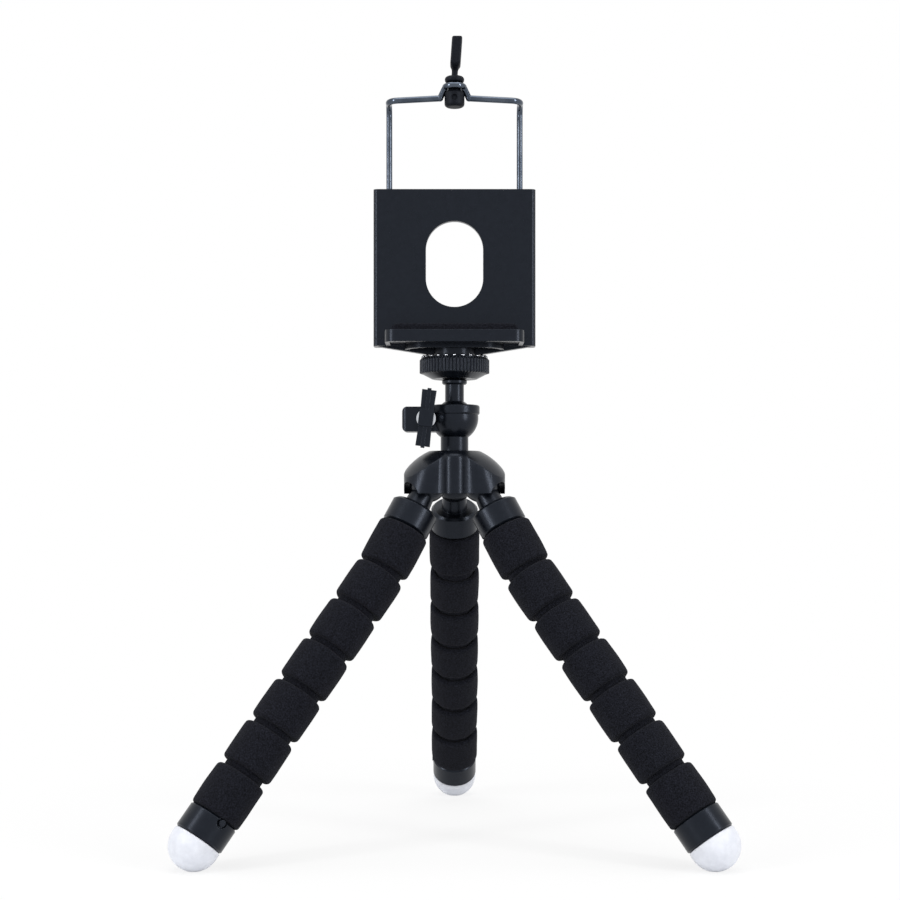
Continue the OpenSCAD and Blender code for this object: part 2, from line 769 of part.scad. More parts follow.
// One half of the wire: leg, bend to the front, corner, bar to the middle and riser to the loop
corner_x = wire_x - wire_bend_r;
bar_out_x = corner_x + wire_bend_r * sin(bar_sweep);
bar_out_y = bar_y + (bar_out_x - bar_in) * tan(bar_sweep);
corner_y = bar_out_y + wire_bend_r * cos(bar_sweep);
KINK = [bar_in, bar_y, bar_z];
LOOP_END = [loop_r, bar_y, loop_z];

module wire_half() {
    bend_z = bar_z - wire_bend_r;
    bend_y = frame_y - wire_bend_r;
    bar_l = (bar_out_x - bar_in) / cos(bar_sweep);
    translate([wire_x, frame_y, wire_foot_z]) cylinder(r = wire_r, h = bend_z - wire_foot_z);
    translate([wire_x, frame_y, wire_foot_z]) cylinder(d = hook_d, h = hook_t);
    translate([wire_x, bend_y, bend_z]) rotate([90, 0, 90])
        rotate_extrude(angle = 90) translate([wire_bend_r, 0]) circle(wire_r);
    translate([wire_x, bend_y, bar_z]) rotate([90, 0, 0]) cylinder(r = wire_r, h = bend_y - corner_y);
    translate([corner_x, corner_y, bar_z]) rotate([0, 0, bar_sweep - 90]) {
        rotate_extrude(angle = 90 - bar_sweep) translate([wire_bend_r, 0]) circle(wire_r);
        translate([wire_bend_r, 0, 0]) rotate([90, 0, 0]) cylinder(r = wire_r, h = bar_l);
    }
    wire_bar(KINK, LOOP_END, wire_r);
    for (p = [KINK, LOOP_END]) translate(p) sphere(1.04 * wire_r);
}

module wire_loop(r) {
    translate([0, bar_y, loop_z]) rotate_extrude() translate([loop_r, 0]) circle(r);
}

module wire_frame() {
    color(chrome) {
        wire_half();
        mirror([1, 0, 0]) wire_half();
        wire_loop(wire_r);
    }
}

// Turned half outline of the grommet: body, waist inside the wire's loop, and head
module grommet_half() {
    low_edge = 1.1;
    head_edge = 0.9;
    intersection() {
        union() {
            rounded_half(grommet_d / 2, grommet_low_h, low_edge);
            square([loop_r - wire_r - pin_gap, grommet_low_h + waist_h + grommet_head_h / 2]);
            translate([0, grommet_low_h + waist_h])
                rounded_half(grommet_d / 2 - 0.1, grommet_head_h, head_edge);
        }
        square([grommet_d, 2 * grommet_low_h + 2 * waist_h]);
    }
}

module top_grommet() {
    dimple_d = 1.8;
    riser = wire_r + 2 * pin_gap;
    color(black) difference() {
        translate([0, bar_y, jaw_z]) rotate_extrude() grommet_half();
        for (side = [-1, 1])
            wire_bar([side * KINK.x, KINK.y, KINK.z], [side * LOOP_END.x, LOOP_END.y, LOOP_END.z], riser);
        translate([0, bar_y - grommet_d / 2 + 0.6, jaw_z + grommet_low_h / 2]) rotate([90, 0, 0])
            cylinder(d = dimple_d, h = grommet_d);
    }
}

module pull_tab() {
    neck_d = 1.9;
    edge = tab_w / 2 - eps;
    color(black) translate([0, bar_y, tab_z]) {
        cylinder(d = neck_d, h = tab_neck_h / 2);
        rotate([0, -tab_lean, 0]) {
            cylinder(d = neck_d, h = tab_neck_h + edge);
            translate([0, 0, tab_neck_h]) rotate([90, 0, 0])
                linear_extrude(tab_deep - tab_w, center = true) union() {
                    translate([-tab_w / 2, edge]) square([tab_w, tab_h - 2 * edge]);
                    for (z = [edge, tab_h - edge]) translate([0, z]) circle(d = tab_w);
                }
            for (y = [-1, 1]) translate([0, y * (tab_deep - tab_w) / 2, tab_neck_h]) {
                translate([0, 0, edge]) cylinder(d = tab_w, h = tab_h - 2 * edge);
                for (z = [edge, tab_h - edge]) translate([0, 0, z]) sphere(d = tab_w);
            }
        }
    }
}

hub();
ball_socket();
ball_liner();
head_ball();
lock_ring();
clamp_screw();
clamp_wing();
clip_base();
jaw_pad();
thread_insert();
back_frame();
jaw_springs();
wire_frame();
top_grommet();
pull_tab();
for (leg = LEGS) {
    leg_cap(leg);
    foot_collar(leg);
    foot(leg);
    for (k = [1 : LOBES])
        foam_lobe(leg, k);
    for (k = [2 : LOBES - 1])
        core_piece(leg, k);
}
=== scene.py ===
# %% [markdown]
# # A flexible three-legged stand
# The object is a small stand with bendable legs, a ball head and a sprung clip. Most of its rigid
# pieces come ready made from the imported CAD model, so this lesson adds what CAD leaves plain: the
# foam, the soft feet, the grip ring with its beads, the hub's round top, the springs, the pull tab
# and every finish. All lengths are in metres in Blender; `MM` lets us write them in millimetres, as
# a drawing would.

# %% Load the CAD model
import json

import bmesh
import bpy
import numpy as np
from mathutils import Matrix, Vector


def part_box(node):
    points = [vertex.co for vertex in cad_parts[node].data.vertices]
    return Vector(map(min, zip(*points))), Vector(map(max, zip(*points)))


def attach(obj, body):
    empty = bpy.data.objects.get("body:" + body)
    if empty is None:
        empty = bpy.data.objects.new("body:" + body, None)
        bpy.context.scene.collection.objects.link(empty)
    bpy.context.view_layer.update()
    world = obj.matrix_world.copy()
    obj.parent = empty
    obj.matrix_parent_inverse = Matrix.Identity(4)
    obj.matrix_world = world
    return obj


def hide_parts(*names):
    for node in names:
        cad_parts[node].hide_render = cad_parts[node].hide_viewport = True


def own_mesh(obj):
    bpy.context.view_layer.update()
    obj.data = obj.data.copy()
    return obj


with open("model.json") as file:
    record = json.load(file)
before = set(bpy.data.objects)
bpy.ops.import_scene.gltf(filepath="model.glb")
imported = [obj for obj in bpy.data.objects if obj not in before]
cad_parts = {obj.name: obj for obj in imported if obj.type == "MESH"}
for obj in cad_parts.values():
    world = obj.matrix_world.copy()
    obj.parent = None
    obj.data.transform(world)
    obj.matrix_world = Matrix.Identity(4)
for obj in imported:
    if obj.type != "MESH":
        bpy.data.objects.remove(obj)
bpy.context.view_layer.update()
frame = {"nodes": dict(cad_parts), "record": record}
MM = 0.001

# %% [markdown]
# ## The camera
# A level camera keeps upright edges upright. The stand reaches further above the lens than below it,
# so the lens is shifted up rather than tilted, as a product photographer does with a shift lens.

# %% Place the camera
EYE = (0, -532 * MM, 104 * MM)
SENSOR_WIDTH, FOCAL_LENGTH = 36, 67.7
SHIFT_X, SHIFT_Y = -0.005, 0.0669


def add_object(name, data):
    """New object that holds the data, linked to the scene."""
    item = bpy.data.objects.new(name, data)
    bpy.context.scene.collection.objects.link(item)
    return item


camera = add_object("camera", bpy.data.cameras.new("camera"))
camera.location = EYE
camera.rotation_euler = (np.pi / 2, 0, 0)
camera.data.sensor_width = SENSOR_WIDTH
camera.data.lens = FOCAL_LENGTH
camera.data.shift_x = SHIFT_X
camera.data.shift_y = SHIFT_Y
bpy.context.scene.camera = camera
print("camera at", EYE)

# %% [markdown]
# ## From a grid of points to a mesh
# Nearly every new surface below is a function of two parameters, worked out for a whole grid at once.
# One helper turns such a grid into a mesh. It welds the points that fall together, so that poles and
# seams are closed, and it lets Blender turn all faces outwards.

# %% Make a mesh from a grid
GRID_WELD = 1e-7


def weld(mesh, distance, turn_out=False):
    """Merge the points that lie within distance of each other; turn_out also turns all faces outwards."""
    work = bmesh.new()
    work.from_mesh(mesh)
    bmesh.ops.remove_doubles(work, verts=work.verts, dist=distance)
    if turn_out:
        bmesh.ops.recalc_face_normals(work, faces=work.faces)
    work.to_mesh(mesh)
    work.free()


def surface(name, grid, wrap_rows=False, wrap_columns=False):
    """Mesh of a grid of points: each face joins corner (i, j) to its neighbours in the next row and column.

    With wrap_rows or wrap_columns the last row or column also joins the first. A stack of grids makes
    one mesh too.
    """
    stack = grid.reshape(-1, *grid.shape[-3:])
    corner = np.arange(stack[..., 0].size).reshape(stack.shape[:3])
    if wrap_rows:
        corner = np.concatenate([corner, corner[:, :1]], axis=1)
    if wrap_columns:
        corner = np.concatenate([corner, corner[:, :, :1]], axis=2)
    faces = np.stack([
        corner[:, :-1, :-1], corner[:, 1:, :-1], corner[:, 1:, 1:], corner[:, :-1, 1:],
    ], axis=-1)
    mesh = bpy.data.meshes.new(name)
    mesh.from_pydata(grid.reshape(-1, 3).tolist(), [], faces.reshape(-1, 4).tolist())
    weld(mesh, GRID_WELD, turn_out=True)
    mesh.shade_smooth()
    return add_object(name, mesh)


# %% [markdown]
# Outlines are put together from arcs and lines. A sine whose size is raised to a power below 1 turns a
# circle into a rounded square, which suits cut foam and moulded straps. The last helper reads where the
# CAD model has a node, so that a new piece sits in the same place.


# %% Draw outlines
def arc(centre, radius, start, end, count):
    """Points on a circle about centre, from angle start to angle end in degrees."""
    a = np.radians(np.linspace(start, end, count))
    return np.stack([centre[0] + radius * np.cos(a), centre[1] + radius * np.sin(a)], axis=-1)


def line(start, end, count):
    """Points on a straight line, without its two ends."""
    return np.linspace(start, end, count + 2)[1:-1]


def circle_angles(count):
    """Angles all the way round, without repeating the first."""
    return np.linspace(0, 2 * np.pi, count, endpoint=False)


def squared(wave, power):
    """The wave's size raised to power, with its sign kept."""
    return np.sign(wave) * np.abs(wave) ** power


def box_mm(node):
    """Lowest and highest corner of a CAD node, in millimetres."""
    return [np.array(corner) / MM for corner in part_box(node)]


# %% [markdown]
# ## Where a leg runs
# A leg leaves its ball at one tilt and takes a slight outward bend at its first groove. Each lobe then
# needs only an origin and three directions: along the leg, and two across it.

# %% The legs' axes
LEGS = {"left": 210, "right": 330, "rear": 90}
LOBES = 7
LEG_TILT, LEG_BEND = np.radians(31.5), np.radians(6.5)
LOBE_PITCH = 14.85
FOAM_START = 16.4
FIRST_GROOVE = FOAM_START + LOBE_PITCH
BALL_RING_R = 9.4
FOOT_COLLAR_L = 8.2
DOME_R, FOOT_FLAT, FOOT_L = 7.6, 0.3, 9.4
FOOT_START = FOAM_START + LOBES * LOBE_PITCH + FOOT_COLLAR_L
DOME_CENTRE = FOOT_START + FOOT_L - DOME_R
BALL_Z = (DOME_R - FOOT_FLAT + np.cos(LEG_TILT) * FIRST_GROOVE
          + np.cos(LEG_TILT + LEG_BEND) * (DOME_CENTRE - FIRST_GROOVE))
UP = np.array([0.0, 0.0, 1.0])


def leg_axes(direction, lobe):
    """Origin of the stations and the unit vectors along, across and beside the leg at that lobe.

    The leg points out and down by its tilt. The origin is found by going back up the lobe's own line
    from the first groove, where the upper line ends.
    """
    a = np.radians(direction)
    out = np.array([np.cos(a), np.sin(a), 0.0])
    beside = np.array([-np.sin(a), np.cos(a), 0.0])
    upper = np.sin(LEG_TILT) * out - np.cos(LEG_TILT) * UP
    tilt = LEG_TILT if lobe == 1 else LEG_TILT + LEG_BEND
    along = np.sin(tilt) * out - np.cos(tilt) * UP
    across = np.cos(tilt) * out + np.sin(tilt) * UP
    groove = BALL_RING_R * out + BALL_Z * UP + FIRST_GROOVE * upper
    return groove - FIRST_GROOVE * along, along, across, beside


def turned(outline, origin, along, across, beside, turns):
    """Surface of revolution: outline gives (radius, station), and each point is turned about the axis."""
    a = circle_angles(turns)
    ring = np.cos(a)[:, None] * across + np.sin(a)[:, None] * beside
    return origin + outline[:, None, 1:] * along + outline[:, None, :1] * ring


print("ball centres at z =", round(float(BALL_Z), 2), "mm")

# %% [markdown]
# ## The foam sleeve
# Each leg wears a sleeve of soft foam, cut by grooves into lobes so that it bends easily. A row of
# bevelled cylinders would show gaps as soon as the leg bends. So a lobe is a closed outline turned about
# the leg: a slightly crowned side, rounded edges, and at its lower end a round neck that closes the
# groove. The neck is part of a ball about the groove's middle, and the next lobe can swing round it.

# %% Outline of a foam lobe
FOAM_R, EDGE_R, GROOVE_W = 8.0, 1.1, 2.0
NECK_R, NECK_REACH, SOCKET_GAP = 6.3, 2.4, 0.3
CORE_R, BORE_R = 1.5, 1.56
HOLE_LEAD = 0.4
SWING = np.radians(16)
HOLE_R = CORE_R / np.cos(SWING) + SOCKET_GAP
HOLE_END_R = HOLE_R + NECK_REACH * np.tan(SWING)
NECK_END_R = np.sqrt(NECK_R**2 - NECK_REACH**2)
SOCKET_R = NECK_R + SOCKET_GAP
SOCKET_FLOOR = NECK_REACH * np.cos(SWING) + NECK_END_R * np.sin(SWING) + SOCKET_GAP
CROWN = 0.12


def foam_outline(first, last):
    """Closed half outline of a lobe: bore, socket, upper edge, crowned side, lower edge, neck, hole."""
    top = 0 if first else GROOVE_W / 2
    end = LOBE_PITCH - (0 if last else GROOVE_W / 2)
    edge_x = FOAM_R - EDGE_R
    rows = []
    if first:
        rows.append([[BORE_R, top]])
    else:
        floor_a, mouth_a = np.degrees(np.arcsin([SOCKET_FLOOR / SOCKET_R, top / SOCKET_R]))
        rows.append([[BORE_R, SOCKET_FLOOR]])
        rows.append(arc((0, 0), SOCKET_R, floor_a, mouth_a, 10))
    rows.append(arc((edge_x, top + EDGE_R), EDGE_R, -90, 0, 9))
    side = line([FOAM_R, top + EDGE_R], [FOAM_R, end - EDGE_R], 22)
    side[:, 0] += CROWN * np.sin(np.pi * (side[:, 1] - top) / (end - top))
    rows.append(side)
    rows.append(arc((edge_x, end - EDGE_R), EDGE_R, 0, 90, 9))
    if last:
        rows.append([[BORE_R, end]])
    else:
        neck_a, reach_a = np.degrees(np.arcsin([-GROOVE_W / 2 / NECK_R, NECK_REACH / NECK_R]))
        rows.append(arc((0, LOBE_PITCH), NECK_R, neck_a, reach_a, 12))
        rows.append([[HOLE_END_R, LOBE_PITCH + NECK_REACH], [HOLE_R, LOBE_PITCH],
                     [HOLE_R, LOBE_PITCH - HOLE_LEAD], [BORE_R, LOBE_PITCH - HOLE_LEAD]])
    return np.concatenate(rows)


print("points in a middle lobe's outline:", len(foam_outline(False, False)))

# %% [markdown]
# Foam is never perfectly even, so a few slow waves of under a tenth of a millimetre are added to the
# radius of a lobe's outer side. The neck and the socket stay true, because they have to fit together.

# %% Foam lobes
LOBE_SIDES = 112
WAVY_FROM_R = NECK_R + 0.4
# Size in millimetres, and the factors of the angle round the lobe and of the place along its outline
FOAM_WAVES = ((0.05, 2, 0), (0.035, 5, 7), (0.02, 9, -11), (0.02, 14, 19))


def foam_waves(grid, seed):
    """Slow waves for a lobe's radius: a sum of sines over its rows and columns, phases from seed."""
    v = np.linspace(0, 1, grid.shape[0])[:, None]
    a = circle_angles(grid.shape[1])[None, :]
    phases = np.random.default_rng(seed).uniform(0, 2 * np.pi, len(FOAM_WAVES))
    return sum(size * np.sin(times_round * a + times_along * v + phase)
               for (size, times_round, times_along), phase in zip(FOAM_WAVES, phases))


foam_pieces = []
for leg_number, (leg, direction) in enumerate(LEGS.items()):
    for lobe in range(1, LOBES + 1):
        origin, *axes = leg_axes(direction, lobe)
        outline = foam_outline(lobe == 1, lobe == LOBES)
        start = origin + (FOAM_START + (lobe - 1) * LOBE_PITCH) * axes[0]
        grid = turned(outline, start, *axes, LOBE_SIDES)
        unit_outline = np.stack([np.ones(len(outline)), np.zeros(len(outline))], axis=-1)
        outward = turned(unit_outline, np.zeros(3), *axes, LOBE_SIDES)
        outer = (outline[:, :1] > WAVY_FROM_R)[:, :, None]
        grid = grid + outer * foam_waves(grid, 10 * leg_number + lobe)[:, :, None] * outward
        piece = surface(f"{leg}_foam_lobe_{lobe}", grid * MM, wrap_rows=True, wrap_columns=True)
        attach(piece, f"{leg}_{lobe}")
        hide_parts(f"{leg}_foam_{lobe}")
        foam_pieces.append(piece)
print("foam lobes:", len(foam_pieces))

# %% [markdown]
# ## The feet
# A foot is a soft milky dome on the end of a leg. Half a ball would do from afar, but a turned outline
# also gives the short straight skirt and its rounded edge. Its points are then held at or above the
# floor, which gives the small flat that the foot stands on.

# %% Feet
FOOT_EDGE_R = 0.5
FOOT_SIDES = 96
foot_outline = np.concatenate([
    [[0, 0], [DOME_R - FOOT_EDGE_R, 0]],
    arc((DOME_R - FOOT_EDGE_R, FOOT_EDGE_R), FOOT_EDGE_R, -90, 0, 6)[1:],
    arc((0, FOOT_L - DOME_R), DOME_R, 0, 90, 40),
])
foot_outline[-1, 0] = 0
foot_pieces = []
for leg, direction in LEGS.items():
    origin, *axes = leg_axes(direction, LOBES)
    grid = turned(foot_outline, origin + FOOT_START * axes[0], *axes, FOOT_SIDES)
    grid[..., 2] = np.maximum(grid[..., 2], 0)
    piece = surface(f"{leg}_soft_foot", grid * MM, wrap_columns=True)
    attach(piece, f"{leg}_{LOBES}")
    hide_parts(f"{leg}_foot")
    foot_pieces.append(piece)
print("feet:", len(foot_pieces))

# %% [markdown]
# ## The foam pad of the lower jaw
# The clip's lower jaw is lined with a thin sheet of foam that turns up behind the front lip. It could be
# one cube with a bevel, but cut foam has softer edges than that. The sheet is a stack of outlines that
# draw in towards its rounded edge.

# %% Sheet of the jaw pad
PAD_T, PAD_EDGE, PAD_CORNER = 1.2, 0.45, 2.0
pad_low, pad_high = box_mm("jaw_pad")
pad_middle = (pad_low + pad_high) / 2
seat_z = pad_low[2] + PAD_T


def pad_ring(inset, z, count=24):
    """One closed outline of the sheet: a rectangle with four quarter circles, drawn in by inset."""
    low, high = pad_low[:2] + inset, pad_high[:2] - inset
    r = PAD_CORNER - inset
    centres = [(high[0] - r, high[1] - r), (low[0] + r, high[1] - r),
               (low[0] + r, low[1] + r), (high[0] - r, low[1] + r)]
    plan = np.concatenate([arc(c, r, 90 * k, 90 * k + 90, count) for k, c in enumerate(centres)])
    return np.column_stack([plan, np.full(len(plan), z)])


pad_rings = [pad_ring(PAD_EDGE * (1 - np.cos(a)), pad_low[2] + PAD_T / 2 + PAD_T / 2 * np.sin(a))
             for a in np.radians(np.linspace(-90, 90, 13))]
under_point = np.tile([pad_middle[0], pad_middle[1], pad_low[2]], (len(pad_rings[0]), 1))
seat_point = np.tile([pad_middle[0], pad_middle[1], seat_z], (len(pad_rings[0]), 1))
pad_grid = np.stack([under_point, *pad_rings, seat_point])
pad_sheet = surface("jaw_pad_sheet", pad_grid * MM, wrap_columns=True)
print("jaw pad seat at z =", round(float(seat_z), 2), "mm")

# %% [markdown]
# The lip is a rounded section carried along X. The section keeps its size over almost the whole width
# and then closes quickly, so both ends are round without a cap.

# %% Lip of the jaw pad
LIP_T, LIP_SHORT = 1.2, 0.5
LIP_SQUARE, LIP_CLOSING = 0.4, 24
lip_half = np.array([LIP_T / 2, (pad_high[2] - pad_low[2]) / 2])
lip_centre = np.array([pad_low[1] + LIP_T / 2, pad_low[2] + lip_half[1]])
around = circle_angles(48)
section = squared(np.column_stack([np.cos(around), np.sin(around)]), LIP_SQUARE)
stations = np.sin(np.radians(np.linspace(-90, 90, 60)))
lip_x = squared(stations, 0.5) * (pad_high[0] - LIP_SHORT)
shrink = (1 - np.abs(lip_x / lip_x[-1]) ** LIP_CLOSING) ** 0.5
lip_grid = np.empty((len(lip_x), len(around), 3))
lip_grid[..., 0] = lip_x[:, None]
lip_grid[..., 1:] = lip_centre + shrink[:, None, None] * section * lip_half
pad_lip = surface("jaw_pad_lip", lip_grid * MM, wrap_columns=True)
for piece in (pad_sheet, pad_lip):
    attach(piece, "clip")
    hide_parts("jaw_pad")
print("jaw pad lip width:", round(float(2 * lip_x[-1]), 2), "mm")

# %% [markdown]
# ## The grip ring
# The lock ring under the clip has a row of rounded ridges for the fingers. Many small cylinders joined
# to a disc would leave hard seams. A turned outline with a radius that also depends on the angle gives
# all of them at once, and lets them fade out below the top in a round end, which catches the light.

# %% Grip ring
RIDGES, RIDGE_R, RIDGE_POINTS = 60, 0.45, 14
RIDGE_END_DROP, RIDGE_END_H = 1.0, 0.4
GRIP_R, CONE_H, RING_BORE_R, RING_FOOT_R = 10.5, 1.8, 3.235, 7.3
FOOT_CUT_R, FOOT_CUT_H = 0.3, 0.15
LOW_EDGE_R, TOP_EDGE_R = 0.15, 0.35
RIDGES_FROM_H = CONE_H - 0.05
ring_low, ring_high = box_mm("lock_ring")
ring_h = ring_high[2] - ring_low[2]
ring_outline = np.concatenate([
    [[RING_BORE_R, 0], [RING_FOOT_R - FOOT_CUT_R, 0], [RING_FOOT_R, FOOT_CUT_H]],
    line([RING_FOOT_R, FOOT_CUT_H], [GRIP_R, CONE_H], 6),
    arc((GRIP_R - LOW_EDGE_R, CONE_H + LOW_EDGE_R), LOW_EDGE_R, -45, 0, 4),
    line([GRIP_R, CONE_H + LOW_EDGE_R], [GRIP_R, ring_h - TOP_EDGE_R], 30),
    arc((GRIP_R - TOP_EDGE_R, ring_h - TOP_EDGE_R), TOP_EDGE_R, 0, 90, 9),
    [[RING_BORE_R, ring_h]],
])
ring_turn = circle_angles(RIDGES * RIDGE_POINTS)
ridge_pitch = 2 * np.pi / RIDGES
offset = ((ring_turn + ridge_pitch / 2) % ridge_pitch - ridge_pitch / 2) * GRIP_R
ridge = np.sqrt(np.maximum(RIDGE_R**2 - offset**2, 0))
height = ring_outline[:, 1]
above = np.clip((height - (ring_h - RIDGE_END_DROP)) / RIDGE_END_H, 0, 1)
ridge_share = np.where(height > RIDGES_FROM_H, np.sqrt(1 - above**2), 0)
radius = ring_outline[:, :1] + ridge_share[:, None] * ridge[None, :]
grip_grid = np.stack([radius * np.cos(ring_turn), radius * np.sin(ring_turn),
                      np.broadcast_to(ring_low[2] + height[:, None], radius.shape)], axis=-1)
grip_ring = surface("grip_ring", grip_grid * MM, wrap_rows=True, wrap_columns=True)
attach(grip_ring, "ring")
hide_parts("lock_ring")
print("grip ring ridges:", RIDGES)

# %% [markdown]
# Small bright beads stand along the ring's upper edge. A bead is a ball, so one grid of latitudes and
# longitudes gives its points, and adding the places of all beads gives the whole stack of grids at once.

# %% Beads on the ring
BEADS, BEAD_R, BEAD_RING_R = 24, 0.6, 9.85
latitude = np.radians(np.linspace(-90, 90, 9))[:, None]
longitude = circle_angles(12)[None, :]
bead = BEAD_R * np.stack([
    np.cos(latitude) * np.cos(longitude), np.cos(latitude) * np.sin(longitude),
    np.broadcast_to(np.sin(latitude), (latitude.size, longitude.size)),
], axis=-1)
bead_turn = circle_angles(BEADS) + np.pi / 2
bead_place = np.stack([BEAD_RING_R * np.cos(bead_turn), BEAD_RING_R * np.sin(bead_turn),
                       np.full(BEADS, ring_high[2])], axis=-1)
ring_beads = surface("ring_beads", (bead_place[:, None, None] + bead) * MM, wrap_columns=True)
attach(ring_beads, "ring")
print("beads on the ring:", BEADS)

# %% [markdown]
# ## The hub
# The hub's three lobes drop towards their outer ends, as if the whole top had been rounded by one large
# ball. Its sockets and arches are already right in the CAD hub, so that is copied, its loose triangles
# are merged, and a Boolean modifier keeps what lies inside such a ball. The ball itself is a half circle
# turned about the hub's axis.

# %% Hub
HUB_DOME_R, HUB_FLAT_R = 19.3, 8.0
HUB_WELD = 1e-6
HUB_SHARP = np.radians(28)
hub_top = box_mm("hub")[1][2]
dome_centre = np.array([0, 0, hub_top - np.sqrt(HUB_DOME_R**2 - HUB_FLAT_R**2)])
dome_outline = arc((0, 0), HUB_DOME_R, -90, 90, 121)
dome_outline[[0, -1], 0] = 0
dome_grid = turned(dome_outline, dome_centre, UP, np.array([1.0, 0, 0]), np.array([0, 1.0, 0]), 240)
dome = surface("hub_dome", dome_grid * MM, wrap_columns=True)
hub_mesh = frame["nodes"]["hub"].data.copy()
weld(hub_mesh, HUB_WELD)
domed_hub = add_object("domed_hub", hub_mesh)
cut = domed_hub.modifiers.new("dome", "BOOLEAN")
cut.operation = "INTERSECT"
cut.solver = "EXACT"
cut.object = dome
shaped = domed_hub.evaluated_get(bpy.context.evaluated_depsgraph_get())
domed_hub.data = bpy.data.meshes.new_from_object(shaped)
domed_hub.modifiers.clear()
domed_hub.data.materials.clear()
domed_hub.data.shade_smooth()
domed_hub.data.set_sharp_from_angle(angle=HUB_SHARP)
bpy.data.objects.remove(dome)
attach(domed_hub, "hub")
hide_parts("hub")
print("hub faces:", len(domed_hub.data.polygons))

# %% [markdown]
# ## The springs
# A spring stands in each guide rail, under the foot of the wire. The Screw modifier could wind it, but a
# circle carried along a rising coil can also shrink to a point at both ends, which closes them. A spring
# would get shorter when the jaw comes down, but here it rides with the clip at its full length. The rails
# hide it.

# %% Springs
SPRING_TURNS, SPRING_R, SPRING_WIRE_R = 11, 1.85, 0.3
SPRING_STEPS, SPRING_SIDES = 32, 12
springs_low, springs_high = box_mm("jaw_springs")
rail_x = springs_high[0] - SPRING_R - SPRING_WIRE_R
rail_y = (springs_low[1] + springs_high[1]) / 2
spring_rise = springs_high[2] - springs_low[2] - 2 * SPRING_WIRE_R
step = np.linspace(0, 1, SPRING_TURNS * SPRING_STEPS + 1)[:, None]
round_wire = circle_angles(SPRING_SIDES)[None, :]
thick = np.where((step == 0) | (step == 1), 0, SPRING_WIRE_R)
coil_r = SPRING_R + thick * np.cos(round_wire)
coil_turn = 2 * np.pi * SPRING_TURNS * step
coil_z = springs_low[2] + SPRING_WIRE_R + spring_rise * step + thick * np.sin(round_wire)
spring_pieces = []
for name, middle_x in (("left_spring", -rail_x), ("right_spring", rail_x)):
    coil = np.stack([
        middle_x + coil_r * np.cos(coil_turn), rail_y + coil_r * np.sin(coil_turn), coil_z,
    ], axis=-1)
    piece = surface(name, coil * MM, wrap_columns=True)
    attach(piece, "clip")
    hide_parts("jaw_springs")
    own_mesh(piece)
    spring_pieces.append(piece)
print("springs:", len(spring_pieces))

# %% [markdown]
# ## The pull tab
# The tab on top is a strap of rubber: a round neck that widens into a thick strap with a square end. A
# box joined to a cylinder would show where they meet. So each level is an oval whose half widths and
# squareness depend on its height, and the levels lean a little to one side.

# %% Pull tab
TAB_NECK_R, TAB_NECK_H, TAB_SPREAD_H, TAB_EDGE_R = 0.95, 1.6, 2.4, 0.35
TAB_HALF = np.array([1.6, 3.5])
TAB_LEAN = np.radians(4)
TAB_SHORT, TAB_SQUARE = 0.15, 0.7
TAB_LEVELS, TAB_SIDES = 40, 64
tab_low, tab_high = box_mm("pull_tab")
tab_y = (tab_low[1] + tab_high[1]) / 2
edge_z = tab_high[2] - tab_low[2] - TAB_SHORT - TAB_EDGE_R
edge_turn = np.radians(np.linspace(0, 90, 8))
level = np.concatenate([[0], np.linspace(0, edge_z, TAB_LEVELS),
                        edge_z + TAB_EDGE_R * np.sin(edge_turn), [edge_z + TAB_EDGE_R]])
inset = np.concatenate([np.zeros(1 + TAB_LEVELS), TAB_EDGE_R * (1 - np.cos(edge_turn)), [0]])
widening = np.clip((level - TAB_NECK_H) / TAB_SPREAD_H, 0, 1)
widening = (widening**2 * (3 - 2 * widening))[:, None]
half = TAB_NECK_R + widening * (TAB_HALF - TAB_NECK_R) - inset[:, None]
half[[0, -1]] = 0
tab_turn = circle_angles(TAB_SIDES)[None, :]
power = 1 - TAB_SQUARE * widening
tab_grid = np.stack([
    level[:, None] * np.tan(TAB_LEAN) + half[:, :1] * squared(np.cos(tab_turn), power),
    tab_y + half[:, 1:] * squared(np.sin(tab_turn), power),
    np.broadcast_to(tab_low[2] + level[:, None], (len(level), TAB_SIDES)),
], axis=-1)
pull_strap = surface("pull_strap", tab_grid * MM, wrap_columns=True)
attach(pull_strap, "jaw")
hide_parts("pull_tab")
print("pull tab height:", round(float(edge_z + TAB_EDGE_R), 2), "mm")

# %% [markdown]
# ## Finishes
# All finishes follow one recipe: a fine noise on Object coordinates, in metres, drives the colour a
# little, the roughness a little and a small bump. What differs is the scale and how strong each part is.
# Values that are the same all over go straight on the shader's sockets.

# %% One recipe for grainy finishes
DARK_UP_TO, LIGHT_FROM = 0.36, 0.72


